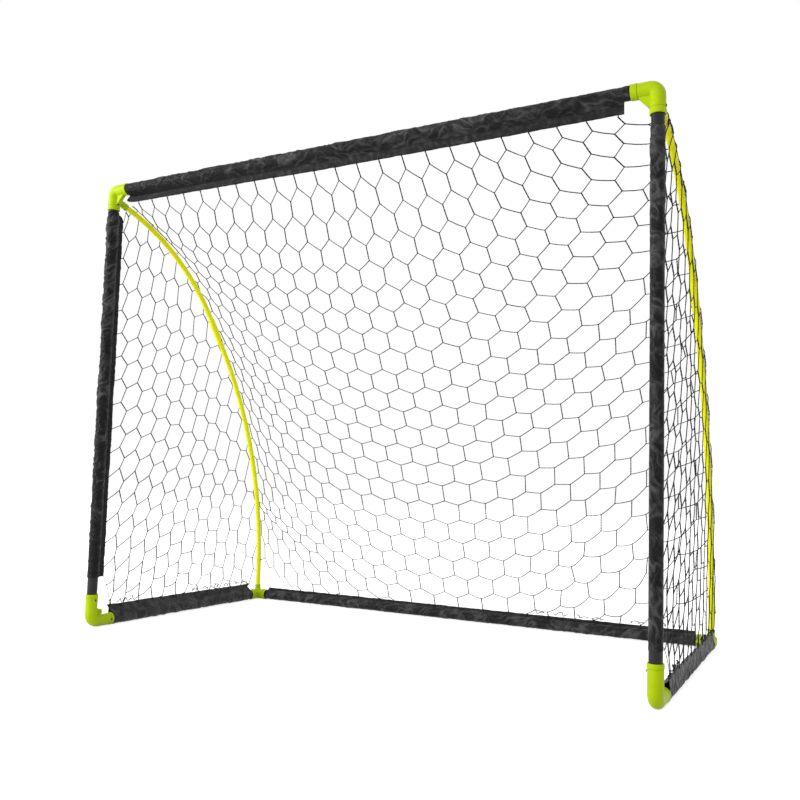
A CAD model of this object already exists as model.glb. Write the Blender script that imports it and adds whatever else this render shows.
"""A training goal: tubes pushed into corners, bowed side arcs, cloth sleeves and a knotted net."""

import logging
import math
from dataclasses import dataclass, field
from enum import Enum

import bpy
import numpy as np
from mathutils import Matrix, Vector, noise

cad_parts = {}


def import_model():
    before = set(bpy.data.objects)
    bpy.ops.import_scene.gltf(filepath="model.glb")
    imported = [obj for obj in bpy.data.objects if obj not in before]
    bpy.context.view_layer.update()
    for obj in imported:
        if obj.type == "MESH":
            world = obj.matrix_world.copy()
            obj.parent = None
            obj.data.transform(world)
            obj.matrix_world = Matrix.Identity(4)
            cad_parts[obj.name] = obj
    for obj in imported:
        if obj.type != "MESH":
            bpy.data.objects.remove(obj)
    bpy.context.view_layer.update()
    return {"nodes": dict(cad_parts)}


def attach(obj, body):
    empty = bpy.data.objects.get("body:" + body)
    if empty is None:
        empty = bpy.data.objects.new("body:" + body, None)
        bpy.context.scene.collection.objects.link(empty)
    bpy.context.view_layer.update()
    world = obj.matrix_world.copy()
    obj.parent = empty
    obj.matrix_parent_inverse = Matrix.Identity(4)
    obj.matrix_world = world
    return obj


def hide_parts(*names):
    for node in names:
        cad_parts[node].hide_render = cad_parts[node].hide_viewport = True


LOG = logging.getLogger("goal")
FRAME_BODY = "frame"

Array = np.ndarray
Colour = tuple[float, float, float, float]
Anchors = tuple[tuple[float, float], ...]
Socket = bpy.types.NodeSocket
WHITE = (1.0, 1.0, 1.0, 1.0)


class Side(Enum):
    """The goal's two sides. The value is the sign of x there."""

    LEFT = -1
    RIGHT = 1

    @property
    def word(self) -> str:
        """The side's name as node names end with it."""
        return self.name.lower()


class NodeKind(Enum):
    """What a rigid CAD node is made of. The value holds the starts of such nodes' names."""

    TUBE = ("crossbar_", "post_", "rail_", "back_bar_")
    ARC = ("arc_", "coupling_")
    CORNER = ("top_fitting_", "front_fitting_", "rear_fitting_")
    BUTTON = ("button_",)
    SPRING = ("springs_",)


class Border(Enum):
    """What a net's border runs along."""

    HEM = "hem"
    EDGE = "edge"


# ---------------- small tools


def srgb(red: int, green: int, blue: int) -> Colour:
    """Turns a screen colour into the linear colour that shaders take.

    Args:
        red: red, 0 to 255.
        green: green, 0 to 255.
        blue: blue, 0 to 255.

    Returns:
        The linear colour with an alpha of 1.
    """

    def linear(value: int) -> float:
        """One channel, from screen to linear."""
        share = value / 255
        return share / 12.92 if share <= 0.04045 else ((share + 0.055) / 1.055) ** 2.4

    return linear(red), linear(green), linear(blue), 1.0


def unit(vector: Array) -> Array:
    """The vector, or each row of them, at length 1."""
    return vector / np.maximum(np.linalg.norm(vector, axis=-1, keepdims=True), 1e-12)


def smooth(value: Array | float) -> Array | float:
    """A soft step from 0 to 1 as value goes from 0 to 1."""
    held = np.clip(value, 0.0, 1.0)
    return held * held * (3.0 - 2.0 * held)


def wave(point: Array, scale: float, seed: float) -> float:
    """Smooth noise from about -1 to 1.

    Args:
        point: the place, in metres.
        scale: the noise's size, in metres.
        seed: shifts the noise to another part of its field.

    Returns:
        The noise there.
    """
    x, y, z = (point / scale).tolist()
    return noise.noise(Vector((x + 7.13 * seed, y - 3.71 * seed, z + 1.37 * seed)))


def new_object(name: str, points: Array, faces: list[tuple[int, ...]]) -> bpy.types.Object:
    """Makes a smooth-shaded mesh object in the scene.

    Args:
        name: the object's name.
        points: its vertices, one row each.
        faces: its faces, as vertex numbers.

    Returns:
        The new object.
    """
    mesh = bpy.data.meshes.new(name)
    mesh.from_pydata(points.tolist(), [], faces)
    mesh.validate()
    mesh.shade_smooth()
    made = bpy.data.objects.new(name, mesh)
    bpy.context.scene.collection.objects.link(made)
    return made


def store(piece: bpy.types.Object, name: str, values: Array) -> None:
    """Keeps a number for each vertex, which a material can read by its name."""
    attribute = piece.data.attributes.new(name, "FLOAT", "POINT")
    attribute.data.foreach_set("value", values.astype(np.float32))


# ---------------- node graphs


class Graph:
    """A node tree that is written in the order in which it is read."""

    def __init__(self, tree: bpy.types.NodeTree) -> None:
        """Starts on an empty tree."""
        self.tree = tree
        self.tree.nodes.clear()

    def add(
        self, kind: str, inputs: dict[str | int, object] | None = None, **settings: object
    ) -> bpy.types.Node:
        """Adds a node.

        Args:
            kind: the node's type, without the words ShaderNode.
            inputs: a constant, or the socket to link from, for each input.
            settings: the node's own properties.

        Returns:
            The new node.
        """
        node = self.tree.nodes.new(kind if kind.startswith("Node") else "ShaderNode" + kind)
        for key, value in settings.items():
            setattr(node, key, value)
        for key, value in (inputs or {}).items():
            if isinstance(value, bpy.types.NodeSocket):
                self.tree.links.new(value, node.inputs[key])
            else:
                node.inputs[key].default_value = value
        return node

    def maths(self, operation: str, first: Socket | float, second: Socket | float = 0.0) -> Socket:
        """One sum of two values.

        Args:
            operation: Blender's word for it, such as MULTIPLY.
            first: a socket or a number.
            second: a socket or a number.

        Returns:
            The result's socket.
        """
        return self.add("Math", {0: first, 1: second}, operation=operation).outputs[0]

    def read(self, name: str) -> Socket:
        """A number that the mesh keeps for each vertex."""
        return self.add("Attribute", attribute_name=name).outputs["Fac"]

    def bump(
        self, height: Socket, distance: float, strength: float, normal: Socket | None = None
    ) -> Socket:
        """Turns a height into a normal.

        Args:
            height: the height, from 0 to 1.
            distance: how far 1 stands out, in metres.
            strength: how much of it counts.
            normal: the normal that it's laid on, or None for the surface's own.

        Returns:
            The normal's socket.
        """
        inputs: dict[str | int, object] = {"Strength": strength, "Distance": distance, "Height": height}
        if normal is not None:
            inputs["Normal"] = normal
        return self.add("Bump", inputs).outputs[0]

    def ramp(
        self, value: Socket, low: float, high: float, to_low: float = 0.0, to_high: float = 1.0
    ) -> Socket:
        """Spreads value's range low to high over to_low to to_high, with soft ends.

        Args:
            value: the socket to spread.
            low: the value that becomes to_low.
            high: the value that becomes to_high.
            to_low: the result at low.
            to_high: the result at high.

        Returns:
            The result's socket.
        """
        names = {"Value": value, "From Min": low, "From Max": high, "To Min": to_low, "To Max": to_high}
        return self.add("MapRange", names, interpolation_type="SMOOTHSTEP").outputs["Result"]

    def blend(self, share: Socket | float, first: Socket | Colour, second: Socket | Colour) -> Socket:
        """Mixes two colours.

        Args:
            share: how much of the second, 0 to 1.
            first: the colour at 0.
            second: the colour at 1.

        Returns:
            The mixed colour's socket.
        """
        return self.add("Mix", {0: share, 6: first, 7: second}, data_type="RGBA").outputs[2]

    def noise(self, place: Socket, scale: Socket | float, detail: float, rough: float = 0.5) -> Socket:
        """Noise from 0 to 1.

        Args:
            place: the coordinates.
            scale: repeats in a metre.
            detail: octaves.
            rough: how much the finer ones count.

        Returns:
            The value's socket.
        """
        names = {"Vector": place, "Scale": scale, "Detail": detail, "Roughness": rough}
        return self.add("TexNoise", names).outputs[0]

    def group(self, effect: bpy.types.NodeTree, inputs: dict[str, object]) -> bpy.types.Node:
        """Places a shared effect.

        Args:
            effect: the node group.
            inputs: its values here.

        Returns:
            The group's node.
        """
        return self.add("Group", inputs, node_tree=effect)


Given = tuple[Graph, Socket, dict[str, Socket]]


class Effects:
    """The node groups that several materials share. Each is built once."""

    def __init__(self) -> None:
        """Builds the groups."""
        self.grain = self._grain()
        self.dust = self._dust()
        self.edges = self._edges()
        self.lay = self._lay()
        self.creases = self._creases()

    @staticmethod
    def _start(name: str, inputs: dict[str, float], outputs: dict[str, str]) -> Given:
        """Starts a group.

        Args:
            name: the group's name.
            inputs: the name and the default of each number that it takes.
            outputs: the name and the kind of each socket that it puts out.

        Returns:
            The graph, the place on the object, and the group's inputs by name.
        """
        tree = bpy.data.node_groups.new(name, "ShaderNodeTree")
        graph = Graph(tree)
        for word, value in inputs.items():
            socket = tree.interface.new_socket(word, in_out="INPUT", socket_type="NodeSocketFloat")
            socket.default_value = value
        for word, kind in outputs.items():
            tree.interface.new_socket(word, in_out="OUTPUT", socket_type=f"NodeSocket{kind}")
        entry = graph.add("NodeGroupInput")
        place = graph.add("TexCoord").outputs["Object"]
        return graph, place, {word: entry.outputs[word] for word in inputs}

    def _grain(self) -> bpy.types.NodeTree:
        """Fine surface grain over slow swells. Gives a height and a slow tone.

        Returns:
            The node group.
        """
        graph, place, given = self._start(
            "grain",
            {"Scale": 900.0, "Swell": 40.0},
            {"Height": "Float", "Tone": "Float"},
        )
        fine = graph.noise(place, given["Scale"], 2.0, 0.6)
        slow = graph.noise(place, given["Swell"], 3.0, 0.5)
        broad = graph.maths("MULTIPLY", slow, 0.4)
        height = graph.maths("ADD", graph.maths("MULTIPLY", fine, 0.6), broad)
        graph.add("NodeGroupOutput", {"Height": height, "Tone": graph.ramp(slow, 0.3, 0.7)})
        return graph.tree

    def _dust(self) -> bpy.types.NodeTree:
        """Dust that settles on faces that look up, in patches. Gives a mask.

        Returns:
            The node group.
        """
        graph, place, given = self._start("dust", {"Amount": 0.3, "Scale": 60.0}, {"Mask": "Float"})
        geometry = graph.add("NewGeometry")
        up = graph.add("SeparateXYZ", {0: geometry.outputs["Normal"]}).outputs["Z"]
        patch = graph.ramp(graph.noise(place, given["Scale"], 5.0, 0.65), 0.42, 0.72)
        settled = graph.ramp(up, 0.1, 1.0)
        mask = graph.maths("MULTIPLY", graph.maths("MULTIPLY", patch, settled), given["Amount"])
        graph.add("NodeGroupOutput", {"Mask": mask})
        return graph.tree

    def _edges(self) -> bpy.types.NodeTree:
        """Rubbed edges. Gives a mask and a normal that rounds them.

        Returns:
            The node group.
        """
        graph, place, given = self._start(
            "edges",
            {"Radius": 0.0008, "Amount": 0.5},
            {"Mask": "Float", "Normal": "Vector"},
        )
        round_edge = graph.add("Bevel", {"Radius": given["Radius"]}, samples=4).outputs[0]
        flat = graph.add("NewGeometry").outputs["Normal"]
        match = graph.add("VectorMath", {0: round_edge, 1: flat}, operation="DOT_PRODUCT")
        bent = graph.ramp(match.outputs["Value"], 0.995, 0.86)
        broken = graph.ramp(graph.noise(place, 260.0, 4.0, 0.6), 0.35, 0.65)
        mask = graph.maths("MULTIPLY", graph.maths("MULTIPLY", bent, broken), given["Amount"])
        graph.add("NodeGroupOutput", {"Mask": mask, "Normal": round_edge})
        return graph.tree

    def _lay(self) -> bpy.types.NodeTree:
        """Threads that cross, from two lengths over the cloth. Gives a height and a mask of gaps.

        Returns:
            The node group.
        """
        graph, place, given = self._start(
            "threads",
            {"Along": 0.0, "Around": 0.0, "Pitch": 0.0006, "Slant": 0.0},
            {"Height": "Float", "Gaps": "Float"},
        )
        turn = graph.maths("DIVIDE", 2.0 * math.pi, given["Pitch"])
        slanted = graph.maths("MULTIPLY", given["Around"], given["Slant"])
        leaning = graph.maths("ADD", given["Along"], slanted)
        warp = graph.maths("SINE", graph.maths("MULTIPLY", leaning, turn))
        weft = graph.maths("SINE", graph.maths("MULTIPLY", given["Around"], turn))
        crossed = graph.maths("MULTIPLY", warp, weft)
        slub = graph.noise(place, 700.0, 2.0)
        height = graph.maths("ADD", graph.maths("MULTIPLY", crossed, 0.5), slub)
        graph.add("NodeGroupOutput", {"Height": height, "Gaps": graph.ramp(crossed, 0.2, -0.9)})
        return graph.tree

    def _creases(self) -> bpy.types.NodeTree:
        """Sharp creases that cross, as crushed cloth has. Gives a height and a mask of valleys.

        Returns:
            The node group.
        """
        graph, _place, given = self._start(
            "creases",
            {"U": 0.0, "V": 0.0, "Scale": 1.0},
            {"Height": "Float", "Valleys": "Float"},
        )
        place = graph.add("CombineXYZ", {0: given["U"], 1: given["V"]}).outputs[0]
        finer = graph.maths("MULTIPLY", given["Scale"], 2.7)
        ridges = []
        for scale in (given["Scale"], finer):
            level = graph.noise(place, scale, 1.0, 0.5)
            apart = graph.maths("ABSOLUTE", graph.maths("SUBTRACT", level, 0.5))
            slope = graph.maths("MINIMUM", graph.maths("MULTIPLY", apart, 7.0), 1.0)
            ridges.append(graph.maths("SUBTRACT", 1.0, slope))
        broad, narrow = graph.maths("MULTIPLY", ridges[0], 0.7), graph.maths("MULTIPLY", ridges[1], 0.3)
        height = graph.maths("ADD", broad, narrow)
        graph.add("NodeGroupOutput", {"Height": height, "Valleys": graph.ramp(height, 0.45, 0.1)})
        return graph.tree


def blank_material(name: str) -> tuple[bpy.types.Material, Graph]:
    """Makes a material with an empty node tree.

    Args:
        name: the material's name.

    Returns:
        The material and its graph.
    """
    made = bpy.data.materials.new(name)
    made.use_nodes = True
    return made, Graph(made.node_tree)


def close_material(graph: Graph, shader: bpy.types.Node) -> None:
    """Joins the shader to the material's output."""
    graph.add("OutputMaterial", {"Surface": shader.outputs[0]})


def close_surface(
    graph: Graph, colour: Socket, rough: Socket, normal: Socket, plain: dict[str, object]
) -> None:
    """Closes a material with its surface shader.

    Args:
        graph: the material's graph.
        colour: the base colour.
        rough: the roughness.
        normal: the normal.
        plain: the values that are the same all over, which are set on the shader itself.
    """
    varied = {"Base Color": colour, "Roughness": rough, "Normal": normal}
    close_material(graph, graph.add("BsdfPrincipled", {**varied, **plain}))


# ---------------- finishes


@dataclass(frozen=True)
class PlasticFinish:
    """Moulded or drawn plastic: a slow change of tone, fine grain, rubbed edges and dust."""

    name: str
    colour: Colour
    shade: Colour
    worn: Colour
    roughness: float
    rough_spread: float
    grain_scale: float
    grain_depth: float
    edge_radius: float
    wear: float
    dust: float
    specular: float
    subsurface: float = 0.0
    subsurface_colour: tuple[float, float, float] = (0.6, 0.8, 0.1)
    subsurface_depth: float = 0.002
    swell: float = 18.0
    dust_colour: Colour = srgb(176, 172, 160)
    dust_scale: float = 90.0
    dust_rough: float = 0.3
    grain_strength: float = 0.6

    def material(self, effects: Effects) -> bpy.types.Material:
        """Builds the material.

        Args:
            effects: the shared node groups.

        Returns:
            The new material.
        """
        made, graph = blank_material(self.name)
        grain = graph.group(effects.grain, {"Scale": self.grain_scale, "Swell": self.swell})
        edges = graph.group(effects.edges, {"Radius": self.edge_radius, "Amount": self.wear})
        dust = graph.group(effects.dust, {"Amount": self.dust, "Scale": self.dust_scale})
        body = graph.blend(grain.outputs["Tone"], self.shade, self.colour)
        rubbed = graph.blend(edges.outputs["Mask"], body, self.worn)
        colour = graph.blend(dust.outputs["Mask"], rubbed, self.dust_colour)
        roughest = self.roughness + self.rough_spread
        rough = graph.ramp(grain.outputs["Tone"], 0.0, 1.0, self.roughness, roughest)
        dulled = graph.maths("MULTIPLY", dust.outputs["Mask"], self.dust_rough)
        rough = graph.maths("ADD", rough, dulled)
        normal = graph.bump(
            grain.outputs["Height"], self.grain_depth, self.grain_strength, edges.outputs["Normal"]
        )
        plain = {
            "Specular IOR Level": self.specular,
            "Subsurface Weight": self.subsurface,
            "Subsurface Radius": self.subsurface_colour,
            "Subsurface Scale": self.subsurface_depth,
        }
        close_surface(graph, colour, rough, normal, plain)
        return made


@dataclass(frozen=True)
class ClothFinish:
    """Thin woven nylon: crossed threads and sharp creases, pale on ridges and dark in valleys."""

    name: str
    ridge: Colour
    valley: Colour
    roughness: float
    thread_pitch: float
    thread_depth: float
    crease_scale: float
    crease_depth: float
    specular: float
    crease_shade: float = 0.55
    tone_shade: float = 0.15
    gap_shade: float = 0.25
    thread_strength: float = 0.5
    grain_scale: float = 240.0
    grain_depth: float = 0.0003
    grain_strength: float = 0.3
    swell: float = 14.0
    lint: Colour = srgb(120, 118, 114)
    lint_amount: float = 0.10
    lint_scale: float = 130.0

    def material(self, effects: Effects) -> bpy.types.Material:
        """Builds the material.

        Args:
            effects: the shared node groups.

        Returns:
            The new material.
        """
        made, graph = blank_material(self.name)
        threads = graph.group(
            effects.lay,
            {"Along": graph.read("along"), "Around": graph.read("around"), "Pitch": self.thread_pitch},
        )
        creases = graph.group(
            effects.creases,
            {"U": graph.read("crease_u"), "V": graph.read("crease_v"), "Scale": self.crease_scale},
        )
        grain = graph.group(effects.grain, {"Scale": self.grain_scale, "Swell": self.swell})
        dust = graph.group(effects.dust, {"Amount": self.lint_amount, "Scale": self.lint_scale})
        body = graph.blend(graph.ramp(graph.read("fold"), 0.12, 0.80), self.valley, self.ridge)
        for mask, shade in (
            (creases.outputs["Valleys"], self.crease_shade),
            (grain.outputs["Tone"], self.tone_shade),
            (threads.outputs["Gaps"], self.gap_shade),
        ):
            body = graph.blend(graph.maths("MULTIPLY", mask, shade), body, self.valley)
        colour = graph.blend(dust.outputs["Mask"], body, self.lint)
        high = creases.outputs["Height"]
        rough = graph.ramp(high, 0.0, 1.0, self.roughness + 0.12, self.roughness - 0.06)
        crushed = graph.maths("MULTIPLY", high, graph.read("crush"))
        wrinkled = graph.bump(crushed, self.crease_depth, 1.0)
        coarse = graph.bump(grain.outputs["Height"], self.grain_depth, self.grain_strength, wrinkled)
        normal = graph.bump(threads.outputs["Height"], self.thread_depth, self.thread_strength, coarse)
        plain = {"Specular IOR Level": self.specular}
        close_surface(graph, colour, rough, normal, plain)
        return made


@dataclass(frozen=True)
class CordFinish:
    """Laid cord or sewing thread: slanting yarns, a slow change of tone and a dull sheen."""

    name: str
    colour: Colour
    pale: Colour
    roughness: float
    yarn_pitch: float
    yarn_depth: float
    yarn_slant: float = 0.8
    yarn_strength: float = 0.7
    yarn_shade: float = 0.5
    tone_shade: float = 0.5
    rough_spread: float = 0.12
    grain_scale: float = 1400.0
    swell: float = 22.0
    specular: float = 0.2
    sheen: float = 0.05

    def material(self, effects: Effects) -> bpy.types.Material:
        """Builds the material.

        Args:
            effects: the shared node groups.

        Returns:
            The new material.
        """
        made, graph = blank_material(self.name)
        yarns = graph.group(
            effects.lay,
            {
                "Along": graph.read("along"),
                "Around": graph.read("around"),
                "Pitch": self.yarn_pitch,
                "Slant": self.yarn_slant,
            },
        )
        grain = graph.group(effects.grain, {"Scale": self.grain_scale, "Swell": self.swell})
        tone = grain.outputs["Tone"]
        toned = graph.blend(graph.maths("MULTIPLY", tone, self.tone_shade), self.colour, self.pale)
        gaps = graph.maths("MULTIPLY", yarns.outputs["Gaps"], self.yarn_shade)
        colour = graph.blend(gaps, toned, self.colour)
        rough = graph.ramp(tone, 0.0, 1.0, self.roughness, self.roughness + self.rough_spread)
        normal = graph.bump(yarns.outputs["Height"], self.yarn_depth, self.yarn_strength)
        plain = {"Specular IOR Level": self.specular, "Sheen Weight": self.sheen}
        close_surface(graph, colour, rough, normal, plain)
        return made


@dataclass(frozen=True)
class SteelFinish:
    """Plated spring steel: metal with fine polishing lines and duller patches."""

    name: str
    colour: Colour
    dull: Colour
    roughness: float
    rough_spread: float = 0.18
    grain_scale: float = 2200.0
    grain_depth: float = 0.00005
    grain_strength: float = 0.4
    swell: float = 150.0

    def material(self, effects: Effects) -> bpy.types.Material:
        """Builds the material.

        Args:
            effects: the shared node groups.

        Returns:
            The new material.
        """
        made, graph = blank_material(self.name)
        grain = graph.group(effects.grain, {"Scale": self.grain_scale, "Swell": self.swell})
        tone = grain.outputs["Tone"]
        colour = graph.blend(tone, self.dull, self.colour)
        rough = graph.ramp(tone, 0.0, 1.0, self.roughness + self.rough_spread, self.roughness)
        normal = graph.bump(grain.outputs["Height"], self.grain_depth, self.grain_strength)
        plain = {"Metallic": 1.0}
        close_surface(graph, colour, rough, normal, plain)
        return made


# ---------------- geometry


@dataclass(frozen=True)
class Goal:
    """The frame's main sizes and places, in metres."""

    post_x: float = 0.9785
    front_y: float = -0.4685
    back_y: float = 0.4685
    rail_z: float = 0.0215
    bar_z: float = 1.5785
    sleeve_r: float = 0.0189
    crossbar_hem: float = 0.033
    crossbar_lean: float = math.radians(20.0)
    post_hem: float = 0.033
    rail_hem: float = 0.028
    bar_hem: float = 0.011
    hem_side: float = 0.0142
    post_hem_side: float = 0.0050
    net_gap: float = 0.0015

    @property
    def run(self) -> float:
        """How far the rear corners stand behind the posts."""
        return self.back_y - self.front_y

    @property
    def rise(self) -> float:
        """How high the crossbar is above the rails."""
        return self.bar_z - self.rail_z


@dataclass(frozen=True)
class ArcPath:
    """The side arc's centre line, in the upright plane through a post and its rear corner.

    A place there is (y behind the post's axis, z above the rail's axis).
    """

    goal: Goal
    start_z: float = 0.100
    turn_mid: float = math.radians(36.0)
    turn_top: float = math.radians(75.0)
    coupling: float = 0.120
    tail: float = 0.045
    socket_r: float = 0.0205
    end_gap: float = 0.0055
    end_drop: float = 0.026

    def radii(self) -> tuple[float, float]:
        """The bend radii of the lower and the upper length, which make the ends meet the corners.

        Returns:
            The lower and the upper radius.
        """
        end_y = self.socket_r + self.end_gap
        end_z = self.goal.rise - self.end_drop - end_y / math.tan(self.turn_top)
        sin_mid, cos_mid = math.sin(self.turn_mid), math.cos(self.turn_mid)
        sin_top, cos_top = math.sin(self.turn_top), math.cos(self.turn_top)
        free_y = self.goal.run - end_y - self.coupling * sin_mid - self.tail * sin_top
        free_z = end_z - self.start_z - self.coupling * cos_mid - self.tail * cos_top
        low = np.array([1 - cos_mid, sin_mid])
        top = np.array([cos_mid - cos_top, sin_top - sin_mid])
        found = np.linalg.solve(np.column_stack([low, top]), np.array([free_y, free_z]))
        return float(found[0]), float(found[1])

    def lengths(self) -> tuple[float, float]:
        """The arc lengths of the two bends."""
        low, top = self.radii()
        return low * self.turn_mid, top * (self.turn_top - self.turn_mid)

    def turn(self, along: Array) -> Array:
        """How far the line has leaned forward at each length along it.

        Args:
            along: lengths from the lower bend's start.

        Returns:
            The angles, in radians.
        """
        low, top = self.lengths()
        first = self.turn_mid * np.clip(along / low, 0.0, 1.0)
        past = np.clip((along - low - self.coupling) / top, 0.0, 1.0)
        return first + (self.turn_top - self.turn_mid) * past

    def point(self, along: Array) -> Array:
        """The place at each length along the line.

        Args:
            along: lengths from the lower bend's start; negative ones are below it.

        Returns:
            One row (y, z) each.
        """
        low, top = self.lengths()
        radius_low, radius_top = self.radii()
        angle = self.turn(along)
        below = np.minimum(along, 0.0)
        straight = np.clip(along - low, 0.0, self.coupling)
        past = np.maximum(along - low - self.coupling - top, 0.0)
        first = np.minimum(angle, self.turn_mid)
        second = np.maximum(angle, self.turn_mid)
        y = self.goal.run - radius_low * (1 - np.cos(first)) - straight * math.sin(self.turn_mid)
        y = y - radius_top * (math.cos(self.turn_mid) - np.cos(second)) - past * math.sin(self.turn_top)
        z = self.start_z + below + radius_low * np.sin(first) + straight * math.cos(self.turn_mid)
        z = z + radius_top * (np.sin(second) - math.sin(self.turn_mid)) + past * math.cos(self.turn_top)
        return np.stack([y, z], -1)

    def outward(self, along: Array) -> Array:
        """The direction away from the goal's inside, square to the line."""
        angle = self.turn(along)
        return np.stack([np.cos(angle), np.sin(angle)], -1)


@dataclass(frozen=True)
class NetSurface:
    """The back net's surface between the crossbar's hem, the back bar's hem and the two arcs."""

    goal: Goal
    arc: ArcPath
    sag: float = 0.045
    over: float = 0.0130
    over_coupling: float = 0.0152
    edge_x: float = 0.9840
    rest_x: float = 0.966
    stop: float = 0.005

    @property
    def foot(self) -> Array:
        """Where the middle of the net meets the back bar's hem."""
        goal = self.goal
        return np.array([goal.run + goal.hem_side, goal.sleeve_r + goal.bar_hem + goal.net_gap])

    @property
    def head(self) -> Array:
        """Where the middle of the net meets the crossbar's hem.

        Returns:
            The place (y behind the post, z above the rail).
        """
        goal = self.goal
        reach = goal.sleeve_r + goal.crossbar_hem + goal.net_gap
        lean = goal.crossbar_lean
        return np.array([reach * math.sin(lean), goal.rise - reach * math.cos(lean)])

    def edge(self, share: Array) -> Array:
        """The net's edge beside an arc, from its foot at 0 to its head at 1.

        Args:
            share: shares of its length.

        Returns:
            One row (y, z) each.
        """
        low, top = self.arc.lengths()
        first = self.foot[1] - self.arc.start_z
        last = low + self.arc.coupling + top - self.stop
        along = first + (last - first) * share
        past = np.abs(along - low - 0.5 * self.arc.coupling) - 0.5 * self.arc.coupling
        over = self.over + (self.over_coupling - self.over) * (1 - smooth(past / 0.03))
        stand = self.goal.hem_side + (over - self.goal.hem_side) * np.clip(7 * share, 0, 1)
        return self.arc.point(along) + stand[..., None] * self.arc.outward(along)

    def point(self, x: Array, share: Array) -> Array:
        """A place on the net.

        Args:
            x: how far to the right of the middle.
            share: 0 at the foot to 1 at the head.

        Returns:
            One row (x, y, z) each, in the object's frame.
        """
        x, share = np.asarray(x, float), np.asarray(share, float)
        chord = float(np.linalg.norm(self.head - self.foot))
        lean = math.atan2(self.foot[0] - self.head[0], self.head[1] - self.foot[1])
        out = np.array([math.cos(lean), math.sin(lean)])
        middle = self.foot + (self.head - self.foot) * share[..., None]
        middle = middle - (self.sag * np.sin(math.pi * share))[..., None] * out
        reach = np.minimum(np.abs(x), self.rest_x)
        stretch = np.cosh(math.pi * reach / chord) / math.cosh(math.pi * self.rest_x / chord)
        pull = stretch ** (1 + 10 * share**12)
        flat = middle + (self.edge(share) - middle) * pull[..., None]
        return np.stack([x, flat[..., 0] + self.goal.front_y, flat[..., 1] + self.goal.rail_z], -1)


# ---------------- cords


@dataclass(frozen=True)
class Cord:
    """A cord's section: its radius, how lobed it is, and its twist in turns a metre."""

    radius: float
    lobes: float = 0.0
    twist: float = 0.0
    sides: int = 6


SINGLE = Cord(radius=0.00160, lobes=0.05, twist=25.0, sides=5)
DOUBLE = Cord(radius=0.00210, lobes=0.12, twist=40.0, sides=6)
LOOP = Cord(radius=0.0010, sides=5)
SELVEDGE = Cord(radius=0.0010, lobes=0.12, twist=40.0, sides=5)
KNOT = 0.0023
EDGE_KNOT = 0.7 * KNOT
AXIS_X = np.array([1.0, 0.0, 0.0])
AXIS_Y = np.array([0.0, 1.0, 0.0])
AXIS_Z = np.array([0.0, 0.0, 1.0])
BACK_GUIDE = np.array([0.1, 1.0, 0.3])
SIDE_GUIDE = np.array([1.0, 0.1, 0.1])


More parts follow.
